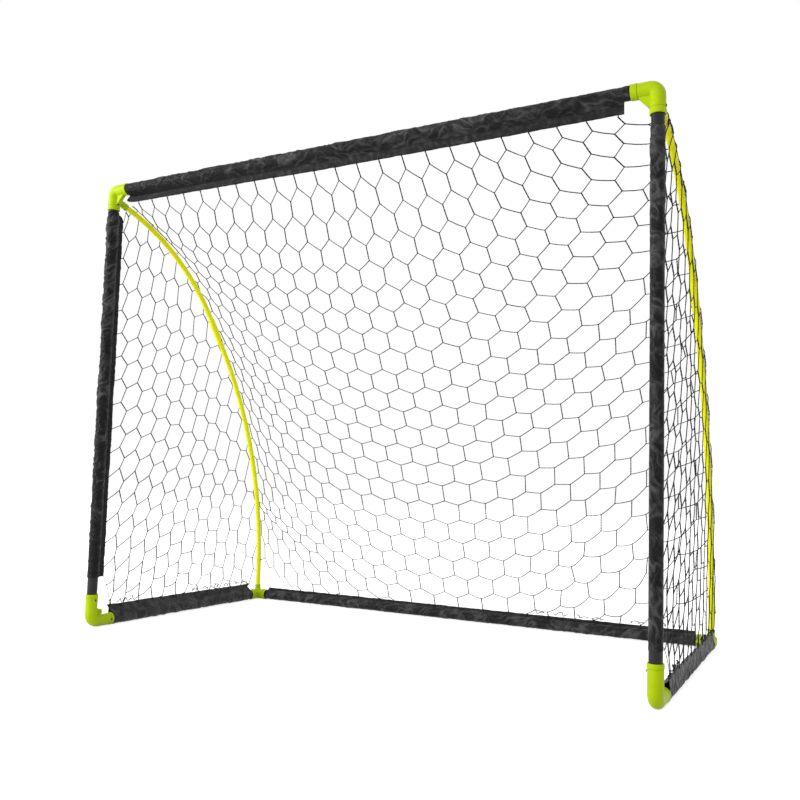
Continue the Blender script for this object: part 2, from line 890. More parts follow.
class CordWork:
    """Gathers lengths of cord and knots into one mesh."""

    BALL_RINGS = 4
    BALL_SIDES = 7
    BALL_STRETCH = 1.25
    BALL_WOUND = 0.16
    LOOP_POINTS = 12
    LOOP_IN = 0.0035
    LOOP_DEEP = 0.0052
    LOOP_WIDE = 0.0024
    CURL_POINTS = 16

    def __init__(self, seed: int) -> None:
        """Starts empty, with its own random draws.

        Args:
            seed: what the draws start from.
        """
        self.draw = np.random.default_rng(seed)
        self.points: list[Array] = []
        self.faces: list[tuple[int, ...]] = []
        self.along: list[Array] = []
        self.around: list[Array] = []
        self.count = 0

    def _keep(self, points: Array, faces: list[tuple[int, ...]], along: Array, around: Array) -> None:
        """Adds one closed shell.

        Args:
            points: its vertices.
            faces: its faces, as numbers of its own vertices.
            along: each vertex's length along the cord.
            around: each vertex's length round the cord.
        """
        self.faces.extend(tuple(corner + self.count for corner in face) for face in faces)
        self.points.append(points)
        self.along.append(along)
        self.around.append(around)
        self.count += len(points)

    @staticmethod
    def _tube_faces(rings: int, sides: int, closed: bool) -> list[tuple[int, ...]]:
        """The faces of a tube of rings, capped unless it closes on itself.

        Args:
            rings: how many rings.
            sides: vertices in a ring.
            closed: whether it closes on itself.

        Returns:
            The faces, as vertex numbers.
        """
        last = rings if closed else rings - 1
        made = []
        for ring in range(last):
            here, there = ring * sides, (ring + 1) % rings * sides
            for side in range(sides):
                after = (side + 1) % sides
                made.append((here + side, here + after, there + after, there + side))
        if not closed:
            made.append(tuple(range(sides - 1, -1, -1)))
            made.append(tuple(range((rings - 1) * sides, rings * sides)))
        return made

    def run(self, path: Array, cord: Cord, guide: Array, closed: bool = False) -> None:
        """Adds a length of cord.

        Args:
            path: the points that it follows.
            cord: its section.
            guide: a direction that isn't along the path, which the section is set out from.
            closed: whether its end joins its start.
        """
        if closed:
            ahead = unit(np.roll(path, -1, 0) - np.roll(path, 1, 0))
        else:
            ahead = unit(np.gradient(path, axis=0))
        first = unit(np.cross(ahead, guide))
        second = np.cross(ahead, first)
        steps = np.linalg.norm(np.diff(path, axis=0), axis=1)
        length = np.concatenate([[0.0], np.cumsum(steps)])
        angle = np.linspace(0, 2 * math.pi, cord.sides, endpoint=False)
        radius = cord.radius * (1 + cord.lobes * np.cos(2 * angle))
        start = self.draw.uniform(0, 2 * math.pi)
        turned = angle[None, :] + (start + 2 * math.pi * cord.twist * length)[:, None]
        across = np.cos(turned)[..., None] * first[:, None, :]
        across = across + np.sin(turned)[..., None] * second[:, None, :]
        points = path[:, None, :] + across * radius[None, :, None]
        self._keep(
            points.reshape(-1, 3),
            self._tube_faces(len(path), cord.sides, closed),
            np.repeat(length, cord.sides),
            np.tile(angle * cord.radius, len(path)),
        )

    def knot(self, place: Array, ahead: Array, size: float) -> None:
        """Adds a knot: a small ball with a wound surface.

        Args:
            place: its middle.
            ahead: the direction of the cord that it's tied in.
            size: its radius.
        """
        ahead = unit(ahead)
        guide = AXIS_X if abs(ahead[0]) < 0.8 else AXIS_Y
        first = unit(np.cross(ahead, guide))
        second = np.cross(ahead, first)
        phase = self.draw.uniform(0, 2 * math.pi)
        points, along, around = [place - ahead * size * self.BALL_STRETCH], [0.0], [0.0]
        for ring in range(1, self.BALL_RINGS):
            height = math.pi * ring / self.BALL_RINGS
            for side in range(self.BALL_SIDES):
                angle = 2 * math.pi * side / self.BALL_SIDES
                wound = 1 + self.BALL_WOUND * math.sin(2 * angle + 3 * height + phase)
                radius = size * math.sin(height) * wound
                middle = place - ahead * size * self.BALL_STRETCH * math.cos(height)
                points.append(middle + radius * (math.cos(angle) * first + math.sin(angle) * second))
                along.append(size * height)
                around.append(size * angle)
        points.append(place + ahead * size * self.BALL_STRETCH)
        along.append(size * math.pi)
        around.append(0.0)
        sides, last = self.BALL_SIDES, len(points) - 1
        faces: list[tuple[int, ...]] = []
        for side in range(sides):
            after = (side + 1) % sides
            faces.append((0, 1 + after, 1 + side))
            top = last - sides
            faces.append((last, top + side, top + after))
            for ring in range(self.BALL_RINGS - 2):
                here, there = 1 + ring * sides, 1 + (ring + 1) * sides
                faces.append((here + side, here + after, there + after, there + side))
        self._keep(np.array(points), faces, np.array(along), np.array(around))

    def loop(self, edge: Array, inward: Array, across: Array) -> None:
        """Adds a closed loop round a hem's edge.

        Args:
            edge: the place on the hem's edge.
            inward: the direction into the hem.
            across: the direction through the hem.
        """
        angle = np.linspace(0, 2 * math.pi, self.LOOP_POINTS, endpoint=False)[:, None]
        path = edge + inward * self.LOOP_IN
        path = path + self.LOOP_DEEP * np.cos(angle) * inward + self.LOOP_WIDE * np.sin(angle) * across
        self.run(path, LOOP, np.cross(inward, across), closed=True)

    def curl(self, start: float) -> tuple[Array, Array, Array]:
        """Sets out a slack curl of cord that lies on a hem.

        Args:
            start: where it starts along the hem.

        Returns:
            Shares of its length, and its places along the hem and above it.
        """
        reach = self.draw.uniform(0.025, 0.05)
        height = self.draw.uniform(0.010, 0.022)
        turns = self.draw.uniform(1.0, 2.2)
        share = np.linspace(0, 1, self.CURL_POINTS)
        along = start + reach * share + 0.005 * np.sin(2 * math.pi * turns * share + start * 40)
        up = 0.002 + height * np.abs(np.sin(math.pi * (turns * share + start * 7))) * (1 - 0.5 * share)
        return share, along, up

    def piece(self, name: str) -> bpy.types.Object:
        """Makes the object.

        Args:
            name: its name.

        Returns:
            The object, with the lengths that its material reads.
        """
        made = new_object(name, np.concatenate(self.points), self.faces)
        store(made, "along", np.concatenate(self.along))
        store(made, "around", np.concatenate(self.around))
        return made


def read_off(anchors: Anchors, at: Array | float) -> Array | float:
    """Reads a value between anchors.

    Args:
        anchors: pairs of a place and the value there, in rising order.
        at: the place to read at.

    Returns:
        The value, on straight lines between the anchors.
    """
    places, values = zip(*anchors, strict=True)
    return np.interp(at, places, values)


@dataclass
class BackNet:
    """The net behind the goal: rows of hexagons that fan out downward and curve up at both sides.

    A flat place is x to the right of the middle, and a length down from the crossbar's hem. row_at
    gives each row's place. The other anchors give, for lengths down, the middle column's drift, the
    cells' pitch, how far a row curves up at the reach from the middle, and how much narrower the
    cells get towards the sides.
    """

    goal: Goal
    surface: NetSurface
    rows: int = 24
    half_columns: int = 27
    mesh_side: float = 0.058
    length: float = 1.78
    reach: float = 0.7
    hem_end: float = 0.900
    tight_shake: tuple[float, float] = (0.003, 0.0025)
    loose_shake: tuple[float, float] = (0.011, 0.009)
    loose_drift: float = 0.016
    tight_slack: float = 0.015
    loose_slack: float = 0.07
    curls: tuple[float, ...] = (0.33, 0.42, 0.50, 0.56, 0.70, 0.80)
    points: int = 7
    seed: int = 11
    row_at: Anchors = ((0, 0.062), (4, 0.428), (8, 0.758), (13, 1.137), (23, 1.980))
    drift_at: Anchors = ((0.0, 0.014), (0.10, 0.024), (0.28, 0.015), (0.47, -0.025), (1.70, -0.090))
    pitch_at: Anchors = ((0.0, 0.080), (0.10, 0.082), (0.70, 0.106), (1.20, 0.110), (1.70, 0.106))
    rise_left: Anchors = ((0.0, 0.008), (0.5, 0.060), (1.05, 0.080), (1.60, 0.106), (1.78, 0.170))
    rise_right: Anchors = ((0.0, 0.000), (0.1, 0.032), (0.5, 0.092), (1.05, 0.124), (1.70, 0.180))
    narrow_left: Anchors = ((0.0, 0.02), (0.9, 0.105), (1.7, 0.135))
    narrow_right: Anchors = ((0.3, -0.02), (0.9, 0.045), (1.7, -0.010))
    work: CordWork = field(init=False)

    def __post_init__(self) -> None:
        """Starts the cord work."""
        self.work = CordWork(self.seed)

    def column_x(self, column: int, down: float) -> float:
        """How far to the right a half column is at a length down.

        Args:
            column: half columns from the middle.
            down: the length down.

        Returns:
            x.
        """
        straight = column * float(read_off(self.pitch_at, down)) / 2
        narrow = self.narrow_left if column < 0 else self.narrow_right
        pulled = 1 - float(read_off(narrow, down)) * (straight / 0.9) ** 2
        return float(read_off(self.drift_at, down)) + straight * pulled

    def flat(self, column: int, row: int) -> tuple[float, float]:
        """A knot's place before it is hung.

        Args:
            column: half columns from the middle.
            row: the zigzag it is on.

        Returns:
            x, and the length from the crossbar's hem.
        """
        middle = float(read_off(self.row_at, row))
        pitch = float(read_off(self.pitch_at, middle))
        rise = math.sqrt(self.mesh_side**2 - (pitch / 2) ** 2)
        upward = (column + row) % 2 == 1
        down = middle + (-0.5 if upward else 0.5) * rise
        x = self.column_x(column, down)
        curve = float(read_off(self.rise_left if x < 0 else self.rise_right, down))
        down -= curve * (x / self.reach) ** 2
        loose = self.looseness(x, down)
        spot = np.array([x, down, 0.0])
        across = self.tight_shake[0] + self.loose_shake[0] * loose
        along = self.tight_shake[1] + self.loose_shake[1] * loose
        x += across * wave(spot, 0.045, 5.0) + self.loose_drift * loose * wave(spot, 0.2, 8.0)
        return x, down + along * wave(spot, 0.05, 6.0)

    def looseness(self, x: float, down: float) -> float:
        """How slack the net is, from 0 to 1: most of all low down on the right."""
        return float(smooth((down - 1.20) / 0.45) * smooth((x - 0.05) / 0.6))

    def place(self, x: float, down: float) -> Array:
        """Hangs a flat place on the net's surface."""
        share = 1.0 - down / self.length
        return self.surface.point(np.array(x), np.array(min(max(share, 0.0), 1.0)))

    def room(self, x: float, down: float) -> float:
        """How far within the net a flat place is; less than 0 outside it."""
        return min(self.surface.edge_x - abs(x), down, self.length - down)

    def strand(self, start: tuple[float, float], end: tuple[float, float], cord: Cord) -> None:
        """Ties a cord between two flat places, cut where it leaves the net.

        Args:
            start: the first place.
            end: the last place.
            cord: its section.
        """
        first, last = self.room(*start), self.room(*end)
        if first <= 0 and last <= 0:
            return
        low = first / (first - last) if first < 0 else 0.0
        high = first / (first - last) if last < 0 else 1.0
        share = low + (high - low) * np.linspace(0, 1, self.points)
        x = start[0] + (end[0] - start[0]) * share
        down = start[1] + (end[1] - start[1]) * share
        path = np.array([self.place(a, b) for a, b in zip(x, down, strict=True)])
        length = float(np.linalg.norm(path[-1] - path[0]))
        if length < 0.004:
            return
        slack = self.tight_slack + self.loose_slack * self.looseness(*start)
        steps = np.linspace(0, 1, len(path))
        path[:, 2] -= 4 * slack * length * steps * (1 - steps) * (cord is SINGLE)
        self.work.run(path, cord, BACK_GUIDE)
        for cut, at, before in ((low > 0, 0, 1), (high < 1, -1, -2)):
            if cut:
                self.tie_off(float(down[at]), path[at], path[at] - path[before])

    def tie_off(self, down: float, spot: Array, ahead: Array) -> None:
        """Ties a cut cord's end to the border: a knot at an arc, and a knot and a loop at a hem.

        Args:
            down: how far down the end is.
            spot: the end in space.
            ahead: the cord's direction there.
        """
        self.work.knot(spot, ahead, KNOT)
        if abs(spot[0]) > self.hem_end:
            return
        lean = self.goal.crossbar_lean
        if down < 0.002:
            inward = np.array([0.0, -math.sin(lean), math.cos(lean)])
            self.work.loop(spot, inward, np.array([0.0, math.cos(lean), math.sin(lean)]))
        elif down >= self.length - 0.002:
            self.work.loop(spot, -AXIS_Z, AXIS_Y)

    def tie(self) -> None:
        """Lays out every cord and knot."""
        for row in range(self.rows):
            for column in range(-self.half_columns, self.half_columns + 1):
                here = self.flat(column, row)
                self.strand(here, self.flat(column + 1, row), SINGLE)
                if (column + row) % 2 == 0 and row + 1 < self.rows:
                    self.strand(here, self.flat(column, row + 1), DOUBLE)
                if row == 0 and column % 2:
                    self.strand((self.column_x(column, 0.0), -0.0001), here, DOUBLE)
                if self.room(*here) > 0.001:
                    spot = self.place(*here)
                    self.work.knot(spot, self.place(here[0], here[1] + 0.01) - spot, KNOT)

    def selvedges(self) -> None:
        """Runs a cord down each edge of the net, just outside the arc."""
        share = np.linspace(0.0, 1.0, 150)
        for side in Side:
            path = self.surface.point(np.full(len(share), side.value * self.surface.edge_x), share)
            self.work.run(path, SELVEDGE, AXIS_X)

    def loose_ends(self) -> None:
        """Lays slack curls of cord along the back bar's hem, where the net is slack."""
        for start in self.curls:
            _share, x, up = self.work.curl(start)
            path = np.array([self.place(a, self.length - b) for a, b in zip(x, up, strict=True)])
            self.work.run(path, SINGLE, BACK_GUIDE)
            self.work.knot(path[0], path[1] - path[0], KNOT)

    def build(self) -> bpy.types.Object:
        """Makes the net's object.

        Returns:
            The net.
        """
        self.tie()
        self.selvedges()
        self.loose_ends()
        return self.work.piece("knotted_net_back")


@dataclass
class SideNet:
    """The net beside the goal: leaning hexagons between the post's hem, the rail's hem and the arc.

    A flat place is y behind the post's axis and z above the rail's axis. Rows of doubled cords hang
    from the anchors' level at the post and drop behind it, and each doubled cord has its own lean.
    """

    goal: Goal
    surface: NetSurface
    side: Side
    hem_low: float
    hem_high: float
    seed: int
    plane: float = 0.9927
    wrap: float = 0.0060
    rail_start: float = 0.096
    level_at: Anchors = ((-4, 1.520), (0, 1.130), (5, 0.704), (9, 0.380), (13, 0.060))
    drop_at: Anchors = ((-4, 0.0), (0, 0.068), (4, 0.237), (8, 0.328), (13, 0.360))
    start_at: Anchors = ((-4, 0.053), (0, 0.071), (4, 0.090), (8, 0.106), (13, 0.098))
    pitch_at: Anchors = ((-4, 0.050), (0, 0.079), (4, 0.083), (8, 0.077), (13, 0.069))
    spread_at: Anchors = ((-4, 0.0024), (0, -0.0002), (4, -0.0009), (13, -0.0014))
    lean_y: Anchors = ((0.30, 0.005), (0.44, 0.017), (0.57, 0.023), (0.72, 0.029))
    lean_z: Anchors = ((0.30, 0.049), (0.57, 0.044), (0.74, 0.030))
    curls: tuple[float, ...] = (0.135, 0.165, 0.20, 0.53, 0.60, 0.66, 0.73, 0.79, 0.84)
    points: int = 7
    billow: float = 0.0016
    billow_size: float = 0.22
    slack_reach: float = 0.10
    post_start: float = 0.056
    post_reach: float = 0.30
    rail_top: float = 0.05
    rail_reach: float = 0.12
    rim_reach: float = 0.05
    shake_size: float = 0.05
    tight_shake: float = 0.003
    loose_shake: float = 0.009
    right_shake: float = 0.006
    loose_below: float = 0.42
    foot_bow: float = 0.06
    inset: float = 0.0005
    tight_slack: float = 0.012
    loose_slack: float = 0.07
    work: CordWork = field(init=False)
    rim: Array = field(init=False)
    rim_close: Array = field(init=False)
    border: Array = field(init=False)

    def __post_init__(self) -> None:
        """Starts the cord work and sets out the border."""
        self.work = CordWork(self.seed)
        rim = self.surface.edge(np.linspace(0.004, 1.0, 90))
        self.rim_close = self.surface.edge(np.linspace(0.0, 1.0, 700))
        self.rim = rim[rim[:, 1] > self.base]
        post = [(self.front, self.hem_high), (self.front, self.hem_low)]
        rail = [(self.rail_start, self.base), (self.rim[0][0], self.base)]
        self.border = np.vstack([self.rim, np.array(post + rail)])

    @property
    def front(self) -> float:
        """How far behind the post's axis the net starts."""
        return self.goal.sleeve_r + self.goal.post_hem + self.goal.net_gap

    @property
    def base(self) -> float:
        """How far above the rail's axis the net starts."""
        return self.goal.sleeve_r + self.goal.rail_hem + self.goal.net_gap

    def inside(self, place: Array) -> bool:
        """True if the place (y behind the post, z above the rail) is within the border.

        Args:
            place: y behind the post and z above the rail.

        Returns:
            True if it is within the border.
        """
        y, z = place
        here, after = self.border, np.roll(self.border, -1, 0)
        across = (here[:, 1] > z) != (after[:, 1] > z)
        run = after[:, 1] - here[:, 1]
        at = here[:, 0] + (z - here[:, 1]) * (after[:, 0] - here[:, 0]) / np.where(run == 0, 1e-12, run)
        return bool(np.count_nonzero(across & (y < at)) % 2)

    def space(self, place: Array) -> Array:
        """Hangs a flat place beside the goal, slack away from the arc and wrapped round it.

        Args:
            place: the flat place.

        Returns:
            The place in the object's frame.
        """
        y, z = float(place[0]), float(place[1])
        from_rim = float(np.min(np.linalg.norm(self.rim_close - np.array([y, z]), axis=1)))
        over = self.surface.over
        slack = float(smooth((from_rim - over) / self.slack_reach))
        swell = wave(np.array([y, z, 0.0]), self.billow_size, 8.0 + self.side.value)
        billow = self.billow * slack * (1 + swell)
        billow -= self.wrap * float(smooth(1 - from_rim / over))
        behind = smooth((y - self.post_start) / self.post_reach)
        near = float((1 - behind) * smooth((z - self.rail_top) / self.rail_reach))
        near *= float(smooth((from_rim - over) / self.rim_reach))
        out = self.plane - (self.goal.hem_side - self.goal.post_hem_side) * near
        return np.array([self.side.value * (out + billow), y + self.goal.front_y, z + self.goal.rail_z])

    def knots(self, column: int, row: int) -> tuple[Array, Array]:
        """The upper and the lower end of a doubled cord.

        Args:
            column: cords behind the post.
            row: rows down from the level where the arc's coupling is.

        Returns:
            Two flat places.
        """
        pitch, spread = float(read_off(self.pitch_at, row)), float(read_off(self.spread_at, row))
        y = float(read_off(self.start_at, row)) + column * pitch + column * column * spread
        drop = float(read_off(self.drop_at, row)) * (max(column, 0) / 9) ** 1.7
        z = float(read_off(self.level_at, row)) - drop + 0.01 * max(-column, 0)
        upper = np.array([y, z])
        lower = upper + np.array([float(read_off(self.lean_y, z)), -float(read_off(self.lean_z, z))])
        return self.shake(upper), self.shake(lower)

    def shake(self, place: Array) -> Array:
        """Moves a knot a little, more where the net is slack near the ground.

        Args:
            place: the knot's flat place.

        Returns:
            The place that it moves to.
        """
        spot = np.array([place[0], place[1], 0.3 * self.side.value])
        loose = float(smooth(1 - place[1] / self.loose_below))
        apart = self.right_shake if self.side is Side.RIGHT else 0.0
        size = self.tight_shake + self.loose_shake * loose + apart
        return place + size * np.array([wave(spot, self.shake_size, seed) for seed in (3.0, 4.0)])

    def cut(self, within: Array, beyond: Array) -> Array:
        """The place between two where the border is crossed.

        Args:
            within: a place inside.
            beyond: a place outside.

        Returns:
            The flat place on the border.
        """
        low, high = 0.0, 1.0
        for _ in range(14):
            middle = (low + high) / 2
            if self.inside(within + (beyond - within) * middle):
                low = middle
            else:
                high = middle
        return within + (beyond - within) * low

    def kind_at(self, place: Array) -> Border:
        """Whether the border there is a hem or the arc's edge."""
        on_post = abs(place[0] - self.front) < 0.001 and self.hem_low < place[1] < self.hem_high
        return Border.HEM if on_post or abs(place[1] - self.base) < 0.001 else Border.EDGE

    def strand(self, start: Array, end: Array, cord: Cord) -> None:
        """Ties a cord between two flat places, cut at the border.

        Args:
            start: the first place.
            end: the last place.
            cord: its section.
        """
        within, beyond = self.inside(start), self.inside(end)
        if not within and not beyond:
            return
        cut = not (within and beyond)
        if not within:
            start, end = end, self.cut(end, start)
        elif not beyond:
            end = self.cut(start, end)
        length = float(np.linalg.norm(end - start))
        if length < 0.003:
            return
        share = np.linspace(0, 1, self.points)[:, None]
        path = np.array([self.space(place) for place in start + (end - start) * share])
        loose = float(smooth(1 - (start[1] + end[1]) / 0.7))
        slack = self.tight_slack + self.loose_slack * loose
        path[:, 2:] -= 4 * slack * length * share * (1 - share) * (cord is SINGLE)
        self.work.run(path, cord, SIDE_GUIDE)
        if cut:
            self.finish_end(end, path[-1], path[-1] - path[-2])

    def finish_end(self, flat: Array, spot: Array, ahead: Array) -> None:
        """Ties a cord's end to what the border is there.

        Args:
            flat: the end's flat place.
            spot: the end in space.
            ahead: the cord's direction there.
        """
        self.work.knot(spot, ahead, EDGE_KNOT)
        if self.kind_at(flat) is Border.EDGE:
            return
        on_rail = flat[1] < 0.06
        stand = self.goal.hem_side if on_rail else self.goal.post_hem_side
        edge = spot.copy()
        edge[0] = self.side.value * (self.goal.post_x + stand)
        self.work.loop(edge, -AXIS_Z if on_rail else -AXIS_Y, AXIS_X)

    def tie(self) -> None:
        """Lays out every cord and knot."""
        for row in range(-5, 14):
            for column in range(-1, 13):
                upper, lower = self.knots(column, row)
                self.strand(upper, lower, DOUBLE)
                self.strand(lower, self.knots(column + 1, row)[0], SINGLE)
                self.strand(lower, self.knots(column, row + 1)[0], SINGLE)
                for knot in (upper, lower):
                    if self.inside(knot):
                        self.work.knot(self.space(knot), np.array([0.0, 0.1, 1.0]), KNOT)

    def free_edges(self) -> None:
        """Runs a cord down the net's free edges: at the arc, and at the post's bare top and foot."""
        self.work.run(np.array([self.space(place) for place in self.rim]), SELVEDGE, AXIS_X)
        turns = self.border[len(self.rim) :]
        top = (self.rim[-1], turns[0], 0.0, turns[0] - np.array([0.0, self.inset]))
        foot = (turns[1], turns[2], self.foot_bow, turns[2])
        for first, last, bow, tied in (top, foot):
            share = np.linspace(0, 1, 12)[:, None]
            path = first + (last - first) * share
            path[:, :1] += 4 * bow * float(np.linalg.norm(last - first)) * share * (1 - share)
            hung = np.array([self.space(place) for place in path])
            self.work.run(hung, SELVEDGE, AXIS_X)
            self.finish_end(tied, hung[-1], hung[-1] - hung[-2])

    def loose_ends(self) -> None:
        """Lays slack curls of cord along the rail's hem, where the net was cut to size."""
        for start in self.curls:
            share, y, up = self.work.curl(start)
            z = self.base + up
            path = np.array([self.space(np.array([a, b])) for a, b in zip(y, z, strict=True)])
            path[:, 0] += self.side.value * 0.002 * np.sin(3 * math.pi * share)
            self.work.run(path, SINGLE, AXIS_X)
            self.work.knot(path[0], path[1] - path[0], KNOT)

    def build(self) -> bpy.types.Object:
        """Makes the net's object.

        Returns:
            The net.
        """
        self.tie()
        self.free_edges()
        self.loose_ends()
        return self.work.piece(f"knotted_net_{self.side.word}")


# ---------------- sleeves


@dataclass(frozen=True)
class Crumple:
    """How a sleeve's cloth is crumpled.

    height gives, for shares along the sleeve, how far the folds stand off the tube, in metres.
    Folds are about long by wide. They slant across the tube, and cross says how many slant the
    other way. ridge, fine and swell are the big folds, the small ones and what both lie on.
    """

    height: Anchors
    long: float = 0.050
    wide: float = 0.014
    slant: float = math.radians(28.0)
    cross: float = 0.5
    bend: float = 0.8
    bend_size: float = 0.035
    ridge_sharp: float = 3.4
    ridge_power: float = 1.2
    fine_sharp: float = 3.0
    fine_size: float = 0.013
    mix_size: float = 0.07
    swell_size: float = 0.045
    ridge_part: float = 0.56
    fine_part: float = 0.20
    swell_part: float = 0.26
    hem_ripple: float = 0.0010
    hem_crush: float = 0.3
    ripple_size: float = 0.05
    ripple_fine: float = 0.016
    drop_size: float = 0.03
    drop_fine: float = 0.011
    least_drop: float = 0.0006
    mottle: float = 0.35
    mottle_size: float = 0.014


@dataclass(frozen=True)
class HemEnd:
    """How a hem ends.

    It stops short of the sleeve's end. Its depth comes in over run, and keep is the share that it
    starts from. lean is how far its tip leans out along the tube, and ragged how uneven the cloth's
    end is.
    """

    short: float = 0.0
    run: float = 0.003
    keep: float = 1.0
    lean: float = 0.0
    ragged: float = 0.002


@dataclass(frozen=True)
class Stitch:
    """A hem's stitches, in metres. seams gives the seams' places, as shares of the hem's depth."""

    pitch: float = 0.0055
    half: float = 0.0018
    wide: float = 0.00045
    proud: float = 0.0003
    margin: float = 0.012
    seams: tuple[float, ...] = (0.15, 0.86)


@dataclass(frozen=True)
class SleeveSection:
    """A sleeve's plain section: places (hem, side), outward directions and lengths round it.

    free is how freely the cloth stands off the tube there, and deep how deep in the hem it is.
    """

    places: Array
    normal: Array
    around: Array
    free: Array
    deep: Array


@dataclass
class Sleeve:
    """A cloth sleeve on a tube, sewn into a flat hem that the net hangs from.

    A place on it is a length along its tube, and a place in the section with axes hem and side.
    reach deepens the hem, in metres, and tone makes the cloth paler, both for shares along it.
    """

    name: str
    node: str
    rests_on: list[str]
    start: Vector
    along: Vector
    hem: Vector
    side: Vector
    length: float
    hem_depth: float
    hem_side: float
    seam_gap: float
    crumple: Crumple
    seed: float
    ends: tuple[HemEnd, HemEnd] = (HemEnd(), HemEnd())
    reach: Anchors = ((0.0, 0.0), (1.0, 0.0))
    tone: Anchors = ((0.0, 0.0), (1.0, 0.0))
    hem_tone: float = 0.30
    cloth: float = 0.0006
    lies_at: float = 0.0181
    hem_half: float = 0.0010
    step: float = 0.0022
    round_points: int = 44
    slope_points: int = 6
    gather: float = 1.06
    end_reach: float = 0.04
    end_roll: float = 0.0004
    roll_from: float = 0.006
    roll_run: float = 0.004
    hem_clear: float = 0.0004
    lowest: float = 0.0008
    stitch: Stitch = Stitch()
    hem_depths: tuple[float, ...] = (1.0, 0.95, 0.75, 0.5, 0.25, 0.05)

    @property
    def seam(self) -> float:
        """How far from the tube's axis the hem's inner seam is."""
        return self.lies_at + self.seam_gap

    @property
    def tip(self) -> float:
        """How far from the tube's axis the hem's edge is."""
        return self.lies_at + self.cloth + self.hem_depth

    def section(self) -> SleeveSection:
        """Sets out the plain section, once round from the hem's tip.

        Returns:
            The section.
        """
        radius = self.lies_at
        far = math.hypot(self.seam, self.hem_side)
        lean, open_half = math.atan2(self.hem_side, self.seam), math.acos(radius / far)
        depths = np.array(self.hem_depths)
        faces = []
        for sign in (1.0, -1.0):
            reach = self.seam + (self.tip - self.seam) * depths
            taper = np.where(depths > 0.99, 0.45, 1.0)
            faces.append(np.stack([reach, self.hem_side + sign * self.hem_half * taper], -1))
        angle = np.linspace(lean + open_half, lean + 2 * math.pi - open_half, self.round_points)
        ring = radius * np.stack([np.cos(angle), np.sin(angle)], -1)
        slope = (np.arange(self.slope_points) + 1)[:, None] / (self.slope_points + 1)
        onto = faces[0][-1] + (ring[0] - faces[0][-1]) * slope
        off = ring[-1] + (faces[1][-1] - ring[-1]) * slope
        places = np.vstack([faces[0], onto, ring, off, faces[1][::-1]])
        deep = np.zeros(len(places))
        deep[: len(depths)] = depths
        deep[-len(depths) :] = depths[::-1]
        free = np.ones(len(places))
        free[: len(depths)] = free[-len(depths) :] = 0.0
        rising = 0.12 + 0.7 * slope[:, 0]
        free[len(depths) : len(depths) + self.slope_points] = rising
        free[-len(depths) - self.slope_points : -len(depths)] = rising[::-1]
        tangent = unit(np.roll(places, -1, 0) - np.roll(places, 1, 0))
        normal = np.stack([-tangent[:, 1], tangent[:, 0]], -1)
        if float((normal * places).sum(-1)[len(places) // 2]) < 0:
            normal = -normal
        around = np.concatenate([[0.0], np.cumsum(np.linalg.norm(np.diff(places, axis=0), axis=1))])
        return SleeveSection(places, normal, around, free, deep)

    def fold_place(self, along: float, around: float, sign: float) -> tuple[float, float]:
        """The place in a set of slanting folds, in fold lengths down and fold widths across.

        Args:
            along: the length along the tube.
            around: the length round the section.
            sign: which way the folds slant.

        Returns:
            Fold lengths down and fold widths across.
        """
        crumple = self.crumple
        turn = sign * crumple.slant
        bend = crumple.bend * wave(np.array([along, around, 0.0]), crumple.bend_size, self.seed + 5.0)
        down = along * math.cos(turn) + around * math.sin(turn)
        over = around * math.cos(turn) - along * math.sin(turn)
        return down / crumple.long, over / crumple.wide + bend

    def fold(self, along: float, around: float) -> float:
        """How high the crumples are, from 0 to 1.

        Args:
            along: the length along the tube.
            around: the length round the section.

        Returns:
            The height.
        """
        crumple = self.crumple
        ridges = []
        for index, sign in enumerate((1.0, -1.0)):
            down, over = self.fold_place(along, around, sign)
            level = wave(np.array([down, over, 0.0]), 1.0, self.seed + 11.0 * index)
            ridges.append(max(0.0, 1 - crumple.ridge_sharp * abs(level)) ** crumple.ridge_power)
        spot = np.array([along, 0.6 * around, 0.0])
        pick = float(smooth(crumple.cross + 1.6 * wave(spot, crumple.mix_size, self.seed + 19.0)))
        swell = 0.5 + 0.6 * wave(spot, crumple.swell_size, self.seed + 17.0)
        level = wave(spot, crumple.fine_size, self.seed + 23.0)
        fine = max(0.0, 1 - crumple.fine_sharp * abs(level))
        slanted = (1 - pick) * ridges[0] + pick * ridges[1]
        height = crumple.swell_part * swell
        height += crumple.ridge_part * slanted * (0.5 + 0.7 * swell)
        height += crumple.fine_part * fine * swell
        return min(1.0, max(0.0, height))

    def ripple(self, along: float, deep: float) -> float:
        """How far the hem waves sideways there.

        Args:
            along: the length along the tube.
            deep: how deep in the hem, as a share.

        Returns:
            The way to the side.
        """
        spot = np.array([along + 0.012 * self.crumple.slant * deep, 0.02 * deep, 0.0])
        broad = wave(spot, self.crumple.ripple_size, self.seed + 31.0)
        fine = wave(spot, self.crumple.ripple_fine, self.seed + 37.0)
        return self.crumple.hem_ripple * deep * (1.2 * broad + 0.9 * fine)

    def drop(self, along: float, deep: float) -> float:
        """How far the hem's edge wanders.

        Args:
            along: the length along the tube.
            deep: how deep in the hem, as a share.

        Returns:
            The way out.
        """
        spot = np.array([along, 0.0, 0.0])
        size = self.crumple.least_drop + 0.4 * self.crumple.hem_ripple
        broad = wave(spot, self.crumple.drop_size, self.seed + 41.0)
        fine = wave(spot, self.crumple.drop_fine, self.seed + 45.0)
        return size * deep * (broad + 0.6 * fine)

    def hem_share(self, along: float) -> float:
        """How much of the hem's depth is left near the sleeve's ends.

        Args:
            along: the length along the tube.

        Returns:
            The share.
        """
        left = 1.0
        for end, near in zip(self.ends, (along, self.length - along), strict=True):
            share = min(max((near - end.short) / end.run, 0.0), 1.0)
            left = min(left, end.keep + (1 - end.keep) * math.sqrt(share * (2 - share)))
        return left

